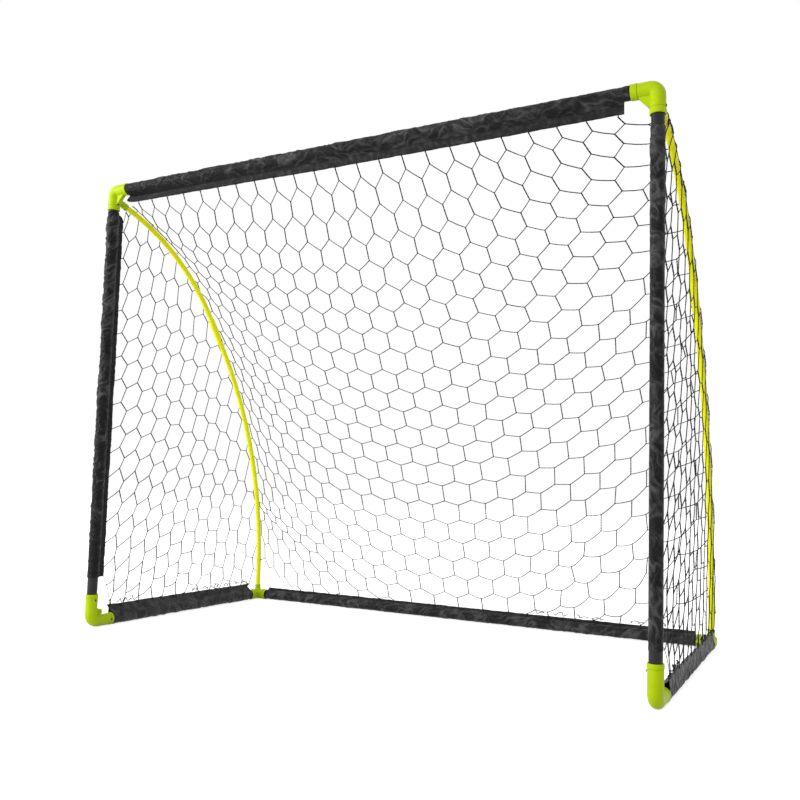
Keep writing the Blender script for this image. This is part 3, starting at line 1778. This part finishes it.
    def deeper(self, along: float) -> float:
        """How much deeper the hem is there than the plain section's, as a share."""
        return 1 + float(read_off(self.reach, along / self.length)) / self.hem_depth

    def shift(self, along: float, place: Array, deep: float) -> float:
        """How far the cloth's ends lean out or are ragged there, along the tube.

        Args:
            along: the length along the tube.
            place: the place in the section.
            deep: how deep in the hem, as a share.

        Returns:
            The way along the tube.
        """
        moved = 0.0
        for end, near, sign in zip(self.ends, (along, self.length - along), (-1.0, 1.0), strict=True):
            if near < self.end_reach:
                turn = np.array([place[0] * 30, place[1] * 30, self.seed])
                ragged = end.ragged * (0.5 + 0.5 * wave(turn, 1.0, 47.0 + sign))
                near_end = float(smooth(1 - near / self.end_reach))
                moved += near_end * (sign * end.lean * deep - sign * ragged)
        return moved

    def place(self, along: float, hem: float, side: float) -> Vector:
        """Turns a place on the sleeve into one in the object's frame, never below the ground.

        Args:
            along: the length along the tube.
            hem: how far towards the hem.
            side: how far to its side.

        Returns:
            The place.
        """
        spot = self.start + self.along * along + self.hem * hem + self.side * side
        spot.z = max(spot.z, self.lowest)
        return spot

    def ring(self, along: float, plain: SleeveSection) -> list[tuple[Vector, float, float]]:
        """Sets out the cloth once round.

        Args:
            along: the length along the tube.
            plain: the plain section.

        Returns:
            The points, how high and pale the folds are there, and how crushed the cloth is.
        """
        high = float(read_off(self.crumple.height, along / self.length))
        left, deeper = self.hem_share(along), self.deeper(along)
        tone = float(read_off(self.tone, along / self.length))
        near = min(along, self.length - along)
        turned = self.end_roll * float(1 - smooth((near - self.roll_from) / self.roll_run))
        floor = self.lies_at + self.hem_clear
        made = []
        for index, place in enumerate(plain.places):
            hem, side = float(place[0]), float(place[1])
            depth, stand = float(plain.deep[index]), float(plain.free[index])
            mottle = wave(np.array([along, hem, 0.0]), self.crumple.mottle_size, self.seed + 43.0)
            height = self.hem_tone + self.crumple.mottle * mottle
            side += self.ripple(along, max(depth, 0.1 * (1 - stand))) * (1 - stand)
            if depth > 0:
                hem = self.seam + (hem - self.seam) * deeper + self.drop(along, depth)
            if stand > 0:
                height = self.fold(along, float(plain.around[index]))
                off = (high * height + turned) * stand
                hem += float(plain.normal[index][0]) * off
                side += float(plain.normal[index][1]) * off
            if stand < 1 and hem > floor:
                hem = floor + (hem - floor) * left
            crush = stand + (1 - stand) * self.crumple.hem_crush
            spot = self.place(along + self.shift(along, place, depth), hem, side)
            made.append((spot, height + tone, crush))
        return made

    def build(self) -> bpy.types.Object:
        """Makes the sleeve's object.

        Returns:
            The sleeve, as one cloth with a thickness.
        """
        plain = self.section()
        count = len(plain.places)
        rows = int(round(self.length / self.step)) + 1
        alongs = np.linspace(0.0, self.length, rows)
        rings = [self.ring(float(along), plain) for along in alongs]
        faces = []
        for row in range(rows - 1):
            here, there = row * count, (row + 1) * count
            for index in range(count):
                after = (index + 1) % count
                faces.append((here + index, here + after, there + after, there + index))
        spots = [spot for ring in rings for spot in ring]
        made = new_object(self.name, np.array([tuple(place) for place, _fold, _crush in spots]), faces)
        store(made, "fold", np.array([fold for _place, fold, _crush in spots]))
        store(made, "crush", np.array([crush for _place, _fold, crush in spots]))
        store(made, "along", np.repeat(alongs, count))
        store(made, "around", np.tile(plain.around, rows))
        pairs = [(along, turn) for along in alongs.tolist() for turn in plain.around.tolist()]
        creases = np.array([self.fold_place(along, turn, 1.0) for along, turn in pairs])
        store(made, "crease_u", creases[:, 0])
        store(made, "crease_v", creases[:, 1])
        self.face_out(made)
        thick = made.modifiers.new("cloth", "SOLIDIFY")
        thick.thickness = self.cloth
        thick.offset = -1.0
        return made

    def face_out(self, made: bpy.types.Object) -> None:
        """Turns the faces so that their normals point away from the tube.

        Args:
            made: the sleeve's object.
        """
        mesh = made.data
        middle = mesh.polygons[len(mesh.polygons) // 2 + self.round_points // 2]
        spot = Vector(middle.center) - self.start
        spot -= self.along * spot.dot(self.along)
        if middle.normal.dot(spot) < 0:
            mesh.flip_normals()

    def stitches(self) -> bpy.types.Object:
        """Makes the hem's two seams: short raised stitches on both of its faces.

        Returns:
            The stitches' object.
        """
        points: list[tuple[float, float, float]] = []
        faces: list[tuple[int, ...]] = []
        stitch, first_end, last_end = self.stitch, self.ends[0], self.ends[1]
        for depth in stitch.seams:
            for sign in (1.0, -1.0):
                along = first_end.short + first_end.run + stitch.margin
                while along < self.length - last_end.short - last_end.run - stitch.margin:
                    deep = (self.tip - self.seam) * depth * self.deeper(along)
                    hem = self.seam + deep + self.drop(along, depth)
                    side = self.hem_side + sign * self.hem_half + self.ripple(along, depth)
                    corners = (
                        (along - stitch.half, hem, side),
                        (along + stitch.half, hem, side),
                        (along, hem - stitch.wide, side),
                        (along, hem + stitch.wide, side),
                        (along, hem, side + sign * stitch.proud),
                        (along, hem, side - sign * stitch.proud),
                    )
                    first = len(points)
                    points.extend(tuple(self.place(*corner)) for corner in corners)
                    for end, forward in ((0, True), (1, False)):
                        for a, b in ((2, 4), (4, 3), (3, 5), (5, 2)):
                            pair = (a, b) if forward else (b, a)
                            faces.append((first + end, first + pair[0], first + pair[1]))
                    along += stitch.pitch
        made = new_object(f"{self.name}_stitches", np.array(points), faces)
        store(made, "along", np.zeros(len(points)))
        store(made, "around", np.zeros(len(points)))
        return made


@dataclass(frozen=True)
class PostCloth:
    """What sets one post's cloth apart: how high its folds are, how they slant, and its tone."""

    height: Anchors
    slant: float
    tone: Anchors


POST_CLOTH = {
    Side.LEFT: PostCloth(
        height=(
            (0.0, 0.0030), (0.08, 0.0052), (0.3, 0.0058), (0.6, 0.0056), (0.8, 0.0060),
            (0.96, 0.0070), (1.0, 0.0040),
        ),
        slant=math.radians(42.0),
        tone=((0.0, -0.34), (0.3, -0.18), (0.6, -0.03)),
    ),
    Side.RIGHT: PostCloth(
        height=(
            (0.0, 0.0003), (0.4, 0.0006), (0.6, 0.0010), (0.75, 0.0018), (0.87, 0.0030),
            (0.97, 0.0038), (1.0, 0.0024),
        ),
        slant=math.radians(30.0),
        tone=((0.0, -0.08), (0.5, 0.0)),
    ),
}


# ---------------- the goal


@dataclass
class SoftGoods:
    """The sleeves and nets, dressed and tied to the frame."""

    goal: Goal
    effects: Effects
    cloth: ClothFinish
    cord: CordFinish
    thread: CordFinish
    foot_arm: float = 0.095
    bare_foot_left: float = 0.058
    bare_foot_right: float = 0.030
    post_length: float = 1.328
    hem_round: float = 0.022
    rail_start: float = 0.092
    rail_length: float = 0.789
    crossbar_half: float = 0.9075
    back_bar_half: float = 0.9265

    def post_low(self, side: Side) -> float:
        """Where the post's sleeve starts, above the rail."""
        return self.foot_arm + (self.bare_foot_left if side is Side.LEFT else self.bare_foot_right)

    def crossbar(self) -> Sleeve:
        """The crossbar's sleeve.

        Returns:
            The sleeve.
        """
        lean = self.goal.crossbar_lean
        return Sleeve(
            name="crossbar_cloth",
            node="crossbar_sleeve",
            rests_on=["crossbar_left", "crossbar_right"],
            start=Vector((-self.crossbar_half, self.goal.front_y, self.goal.bar_z)),
            along=Vector((1.0, 0.0, 0.0)),
            hem=Vector((0.0, math.sin(lean), -math.cos(lean))),
            side=Vector((0.0, math.cos(lean), math.sin(lean))),
            length=2 * self.crossbar_half,
            hem_depth=self.goal.crossbar_hem,
            hem_side=0.0,
            seam_gap=0.009,
            crumple=Crumple(
                height=(
                    (0.0, 0.0040), (0.04, 0.0050), (0.35, 0.0052), (0.6, 0.0042),
                    (0.8, 0.0030), (1.0, 0.0026),
                ),
                long=0.070,
                wide=0.017,
                slant=math.radians(26.0),
                cross=0.45,
                hem_ripple=0.0009,
                hem_crush=0.25,
            ),
            seed=3.0,
            ends=(
                HemEnd(run=0.035, keep=0.6, lean=0.021),
                HemEnd(short=0.018, run=0.002, keep=0.0, ragged=0.001),
            ),
            reach=((0.12, -0.004), (0.3, -0.002), (0.45, 0.002), (0.8, 0.001), (1.0, -0.003)),
            tone=((0.0, -0.36), (0.25, -0.05), (0.5, 0.05), (1.0, 0.02)),
            hem_tone=0.22,
        )

    def back_bar(self) -> Sleeve:
        """The back bar's sleeve.

        Returns:
            The sleeve.
        """
        return Sleeve(
            name="back_bar_cloth",
            node="back_bar_sleeve",
            rests_on=["back_bar_left", "back_bar_right"],
            start=Vector((-self.back_bar_half, self.goal.back_y, self.goal.rail_z)),
            along=Vector((1.0, 0.0, 0.0)),
            hem=Vector((0.0, 0.0, 1.0)),
            side=Vector((0.0, 1.0, 0.0)),
            length=2 * self.back_bar_half,
            hem_depth=self.goal.bar_hem,
            hem_side=self.goal.hem_side,
            seam_gap=0.005,
            crumple=Crumple(
                height=((0.0, 0.0026), (0.3, 0.0024), (0.7, 0.0028), (1.0, 0.0034)),
                long=0.080,
                wide=0.020,
                slant=math.radians(36.0),
                cross=0.2,
                hem_ripple=0.0016,
                hem_crush=0.7,
            ),
            seed=5.0,
            ends=(HemEnd(ragged=0.004), HemEnd(ragged=0.004)),
            tone=((0.0, 0.0), (1.0, 0.10)),
        )

    def post(self, side: Side) -> Sleeve:
        """A post's sleeve.

        Args:
            side: which post.

        Returns:
            The sleeve.
        """
        own = POST_CLOTH[side]
        foot = self.goal.rail_z + self.post_low(side)
        return Sleeve(
            name=f"post_cloth_{side.word}",
            node=f"post_sleeve_{side.word}",
            rests_on=[f"post_lower_{side.word}", f"post_upper_{side.word}"],
            start=Vector((side.value * self.goal.post_x, self.goal.front_y, foot)),
            along=Vector((0.0, 0.0, 1.0)),
            hem=Vector((0.0, 1.0, 0.0)),
            side=Vector((float(side.value), 0.0, 0.0)),
            length=self.post_length,
            hem_depth=self.goal.post_hem,
            hem_side=self.goal.post_hem_side,
            seam_gap=0.014,
            crumple=Crumple(
                height=own.height,
                long=0.055,
                wide=0.020,
                slant=own.slant,
                cross=0.35,
                hem_ripple=0.0018,
                hem_crush=0.6,
            ),
            seed=7.0 + side.value,
            ends=(HemEnd(ragged=0.002), HemEnd(run=0.03, keep=0.35, ragged=0.005)),
            tone=own.tone,
            hem_tone=0.24,
        )

    def rail(self, side: Side) -> Sleeve:
        """A ground rail's sleeve.

        Args:
            side: which rail.

        Returns:
            The sleeve.
        """
        front = self.goal.front_y + self.rail_start
        tone = 0.24 if side is Side.LEFT else -0.25
        return Sleeve(
            name=f"rail_cloth_{side.word}",
            node=f"rail_sleeve_{side.word}",
            rests_on=[f"rail_{side.word}"],
            start=Vector((side.value * self.goal.post_x, front, self.goal.rail_z)),
            along=Vector((0.0, 1.0, 0.0)),
            hem=Vector((0.0, 0.0, 1.0)),
            side=Vector((float(side.value), 0.0, 0.0)),
            length=self.rail_length,
            hem_depth=self.goal.rail_hem,
            hem_side=self.goal.hem_side,
            seam_gap=0.017,
            crumple=Crumple(
                height=((0.0, 0.0046), (0.25, 0.0050), (0.5, 0.0034), (0.8, 0.0040), (1.0, 0.0044)),
                long=0.085,
                wide=0.030,
                slant=math.radians(-48.0),
                cross=0.15,
                bend=1.2,
                hem_ripple=0.0026,
                hem_crush=0.9,
            ),
            reach=((0.0, 0.005), (0.5, 0.004), (1.0, 0.0)),
            tone=((0.0, tone), (1.0, tone)),
            seed=13.0 + side.value,
            ends=(HemEnd(lean=0.011, ragged=0.002), HemEnd(lean=0.012, ragged=0.004)),
        )

    def dress(self, piece: bpy.types.Object, look: bpy.types.Material, slot: str) -> None:
        """Gives a piece its material, its body and its slot.

        Args:
            piece: the piece.
            look: its material.
            slot: the record's material slot.
        """
        piece.data.materials.append(look)
        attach(piece, FRAME_BODY)
        LOG.info("%s: %d faces", piece.name, len(piece.data.polygons))

    def sew(self) -> None:
        """Makes every sleeve, its stitches and its declaration."""
        cloth = self.cloth.material(self.effects)
        thread = self.thread.material(self.effects)
        sleeves = [self.crossbar(), self.back_bar()]
        sleeves += [make(side) for make in (self.post, self.rail) for side in Side]
        for sleeve in sleeves:
            piece, seams = sleeve.build(), sleeve.stitches()
            self.dress(piece, cloth, "sleeve")
            self.dress(seams, thread, "sleeve")
            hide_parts(sleeve.node)
            float(sleeve.section().around[-1])

    def knot(self) -> None:
        """Makes the three nets."""
        arc = ArcPath(self.goal)
        surface = NetSurface(self.goal, arc)
        cord = self.cord.material(self.effects)
        back = BackNet(self.goal, surface).build()
        self.dress(back, cord, "net")
        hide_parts("net_back")
        for side in Side:
            low = self.post_low(side)
            high = low + self.post_length - self.hem_round
            net = SideNet(self.goal, surface, side, low, high, seed=21 + side.value)
            piece = net.build()
            self.dress(piece, cord, "net")
            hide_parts(f"net_{side.word}")


@dataclass
class RigidParts:
    """The frame's CAD nodes, which keep their shape and get their finish."""

    effects: Effects
    finishes: dict[NodeKind, PlasticFinish | SteelFinish]

    def dress(self, nodes: dict[str, bpy.types.Object], soft: tuple[str, ...]) -> None:
        """Gives each rigid node its material.

        Args:
            nodes: the CAD nodes by name.
            soft: the starts of the names of nodes that cloth or cord replaces.
        """
        looks = {kind: finish.material(self.effects) for kind, finish in self.finishes.items()}
        for name, piece in nodes.items():
            if "sleeve" in name or name.startswith(soft):
                continue
            kind = next(kind for kind in NodeKind if name.startswith(kind.value))
            for place in piece.material_slots:
                place.material = looks[kind]
            LOG.info("%s: %s", name, kind.name.lower())


@dataclass(frozen=True)
class Lamp:
    """A soft square lamp: its name, its place, its side in metres and its power in watts."""

    name: str
    place: Vector
    size: float
    watts: float


@dataclass(frozen=True)
class Studio:
    """The floor, the lamps, the world and the camera."""

    eye: Vector = Vector((1.401, -2.5835, 0.5435))
    azimuth: float = math.radians(-27.53)
    elevation: float = math.radians(4.47)
    roll: float = math.radians(1.545)
    focus_px: float = 827.8
    centre_px: tuple[float, float] = (416.5, 417.35)
    image_px: float = 800.0
    sensor_mm: float = 36.0
    nearest: float = 0.05
    farthest: float = 60.0
    lamps: tuple[Lamp, ...] = (
        Lamp("key", Vector((-1.3, -5.0, 1.3)), 2.0, 60.0),
        Lamp("side", Vector((-4.2, -3.4, 2.2)), 1.6, 150.0),
    )
    lit: Vector = Vector((0.0, 0.0, 0.8))
    floor_half: float = 14.0
    ambient: float = 0.78
    floor_glow: float = 0.70
    floor_colour: Colour = (0.72, 0.72, 0.72, 1.0)

    def camera(self) -> None:
        """Makes the camera."""
        east, north = math.sin(self.azimuth), math.cos(self.azimuth)
        flat = math.cos(self.elevation)
        ahead = Vector((east * flat, north * flat, math.sin(self.elevation)))
        level = Vector((north, -east, 0.0))
        above = level.cross(ahead)
        right = math.cos(self.roll) * level + math.sin(self.roll) * above
        top = -math.sin(self.roll) * level + math.cos(self.roll) * above
        data = bpy.data.cameras.new("camera")
        data.sensor_width = self.sensor_mm
        data.lens = self.focus_px * data.sensor_width / self.image_px
        data.shift_x = -(self.centre_px[0] - self.image_px / 2) / self.image_px
        data.shift_y = (self.centre_px[1] - self.image_px / 2) / self.image_px
        data.clip_start, data.clip_end = self.nearest, self.farthest
        made = bpy.data.objects.new("camera", data)
        bpy.context.scene.collection.objects.link(made)
        turn = Matrix((right, top, -ahead)).transposed().to_4x4()
        made.matrix_world = Matrix.Translation(self.eye) @ turn
        bpy.context.scene.camera = made

    def light(self, lamp: Lamp) -> None:
        """Sets up a lamp that the camera doesn't see, pointed at the goal's middle.

        Args:
            lamp: the lamp.
        """
        data = bpy.data.lights.new(lamp.name, "AREA")
        data.shape, data.size, data.energy = "SQUARE", lamp.size, lamp.watts
        made = bpy.data.objects.new(lamp.name, data)
        made.visible_camera = False
        made.location = lamp.place
        made.rotation_mode = "QUATERNION"
        made.rotation_quaternion = (self.lit - lamp.place).to_track_quat("-Z", "Y")
        bpy.context.scene.collection.objects.link(made)

    def seen(self, graph: Graph) -> Socket:
        """1 for rays from the camera, a reflection or through glass, and 0 for light's own rays.

        Args:
            graph: the graph to add it to.

        Returns:
            The value's socket.
        """
        path = graph.add("LightPath")
        both = graph.maths("MAXIMUM", path.outputs["Is Camera Ray"], path.outputs["Is Glossy Ray"])
        return graph.maths("MAXIMUM", both, path.outputs["Is Transmission Ray"])

    def world(self) -> None:
        """Makes the world: white where it is seen, and a plain soft light otherwise."""
        made = bpy.data.worlds.new("studio")
        made.use_nodes = True
        graph = Graph(made.node_tree)
        added = graph.maths("MULTIPLY", self.seen(graph), 1.0 - self.ambient)
        level = graph.maths("ADD", added, self.ambient)
        back = graph.add("Background", {"Color": WHITE, "Strength": level})
        graph.add("OutputWorld", {"Surface": back.outputs[0]})
        bpy.context.scene.world = made

    def floor(self) -> None:
        """Makes the white floor, which keeps the goal's shadow."""
        corners = self.floor_half * np.array([(-1, -1, 0), (1, -1, 0), (1, 1, 0), (-1, 1, 0)])
        made = new_object("studio_floor", corners, [(0, 1, 2, 3)])
        look, graph = blank_material("studio_floor")
        matt = graph.add("BsdfDiffuse", {"Color": self.floor_colour})
        glow = graph.maths("MULTIPLY", self.seen(graph), self.floor_glow)
        shine = graph.add("Emission", {"Color": WHITE, "Strength": glow})
        close_material(graph, graph.add("AddShader", {0: matt.outputs[0], 1: shine.outputs[0]}))
        made.data.materials.append(look)

    def set_up(self) -> None:
        """Makes everything round the goal."""
        self.camera()
        for lamp in self.lamps:
            self.light(lamp)
        self.world()
        self.floor()
        bpy.context.scene.view_settings.view_transform = "Standard"


TUBE = PlasticFinish(
    name="black_tube",
    colour=srgb(30, 30, 32),
    shade=srgb(22, 22, 24),
    worn=srgb(66, 66, 68),
    roughness=0.34,
    rough_spread=0.10,
    grain_scale=1100.0,
    grain_depth=0.00005,
    edge_radius=0.0006,
    wear=0.5,
    dust=0.06,
    specular=0.25,
)
ARC = PlasticFinish(
    name="yellow_tube",
    colour=srgb(246, 246, 10),
    shade=srgb(240, 241, 4),
    worn=srgb(244, 246, 110),
    roughness=0.36,
    rough_spread=0.08,
    grain_scale=800.0,
    grain_depth=0.00002,
    edge_radius=0.0006,
    wear=0.2,
    dust=0.02,
    specular=0.16,
    subsurface=0.05,
)
CORNER = PlasticFinish(
    name="lime_moulding",
    colour=srgb(176, 200, 0),
    shade=srgb(168, 193, 0),
    worn=srgb(206, 222, 70),
    roughness=0.38,
    rough_spread=0.10,
    grain_scale=620.0,
    grain_depth=0.00006,
    edge_radius=0.0009,
    wear=0.30,
    dust=0.03,
    specular=0.14,
    subsurface=0.05,
)
BUTTON = SteelFinish(
    name="button_steel",
    colour=srgb(96, 98, 96),
    dull=srgb(64, 66, 64),
    roughness=0.34,
)
SPRING = SteelFinish(
    name="spring_steel",
    colour=srgb(150, 152, 155),
    dull=srgb(110, 112, 116),
    roughness=0.30,
)
CLOTH = ClothFinish(
    name="woven_sleeve",
    ridge=srgb(76, 76, 78),
    valley=srgb(16, 16, 17),
    roughness=0.42,
    thread_pitch=0.0007,
    thread_depth=0.00006,
    crease_scale=1.0,
    crease_depth=0.0024,
    specular=0.13,
)
NET_CORD = CordFinish(
    name="net_cord",
    colour=srgb(26, 25, 25),
    pale=srgb(44, 42, 41),
    roughness=0.62,
    yarn_pitch=0.0012,
    yarn_depth=0.0001,
)
THREAD = CordFinish(
    name="sewing_thread",
    colour=srgb(26, 26, 28),
    pale=srgb(58, 58, 60),
    roughness=0.5,
    yarn_pitch=0.0006,
    yarn_depth=0.00004,
)


def main() -> None:
    """Builds the goal around the CAD frame."""
    logging.basicConfig(level=logging.INFO, format="%(name)s: %(message)s")
    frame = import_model()
    goal, effects = Goal(), Effects()
    Studio().set_up()
    finishes = {
        NodeKind.TUBE: TUBE,
        NodeKind.ARC: ARC,
        NodeKind.CORNER: CORNER,
        NodeKind.BUTTON: BUTTON,
        NodeKind.SPRING: SPRING,
    }
    RigidParts(effects, finishes).dress(frame["nodes"], ("net_",))
    soft = SoftGoods(goal, effects, CLOTH, NET_CORD, THREAD)
    soft.sew()
    soft.knot()


if __name__ == "__main__":
    main()
